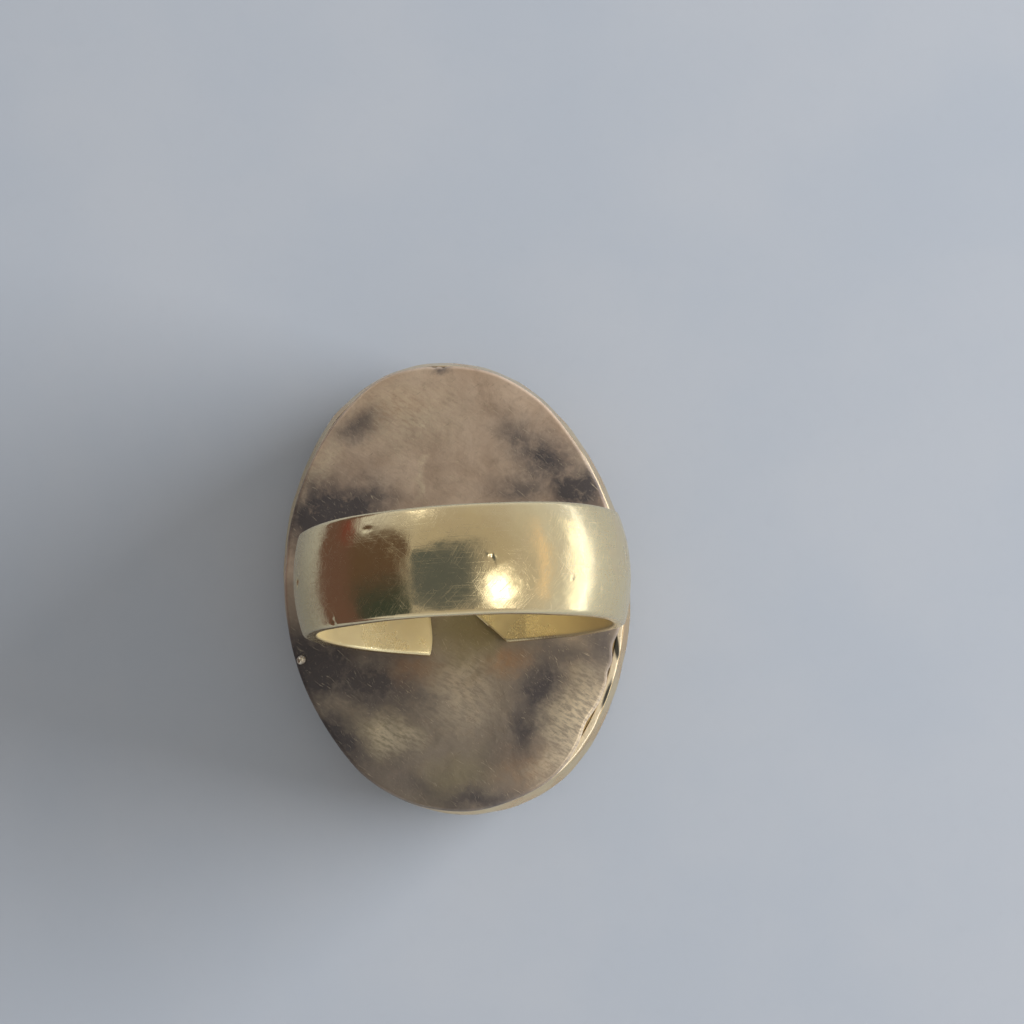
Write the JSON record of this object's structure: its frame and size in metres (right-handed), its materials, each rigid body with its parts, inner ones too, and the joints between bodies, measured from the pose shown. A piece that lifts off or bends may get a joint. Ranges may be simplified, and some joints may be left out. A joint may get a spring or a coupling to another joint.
{
  "type": "cocktail ring",
  "caption": "Oval cocktail ring: wide plain D-section band cut open and soldered to a closed back plate, flared bezel wall with a pressed lip, bevelled tablet stone.",
  "frame": {"origin": "centre of the finger hole, midway between the band's two sides", "axes": "+Y along the finger hole, +Z from the stone to the crown of the band, +X across the band; the stone faces -Z"},
  "size_m": [0.0232, 0.0306, 0.0254],
  "materials": {
    "band_gilt": "worn polished yellow gold colour",
    "plate_tarnished": "tarnished satin, stained and scratched",
    "wall_gilt": "worn polished, copper tinted",
    "bearing_brass": "unpolished",
    "seam_solder": "oxidised, dull",
    "solder": "soft satin solder",
    "pad_card": "matt card",
    "onyx": "high polish"
  },
  "bodies": {
    "root": {"shank": "band_gilt", "back_plate": "plate_tarnished", "plate_seam": "seam_solder", "bezel_wall": "wall_gilt", "bearing_strip": "bearing_brass", "backing_pad": "pad_card", "stone": "onyx", "left_foot_solder": "solder", "right_foot_solder": "solder", "edge_bead": "solder"}
  },
  "joints": []
}
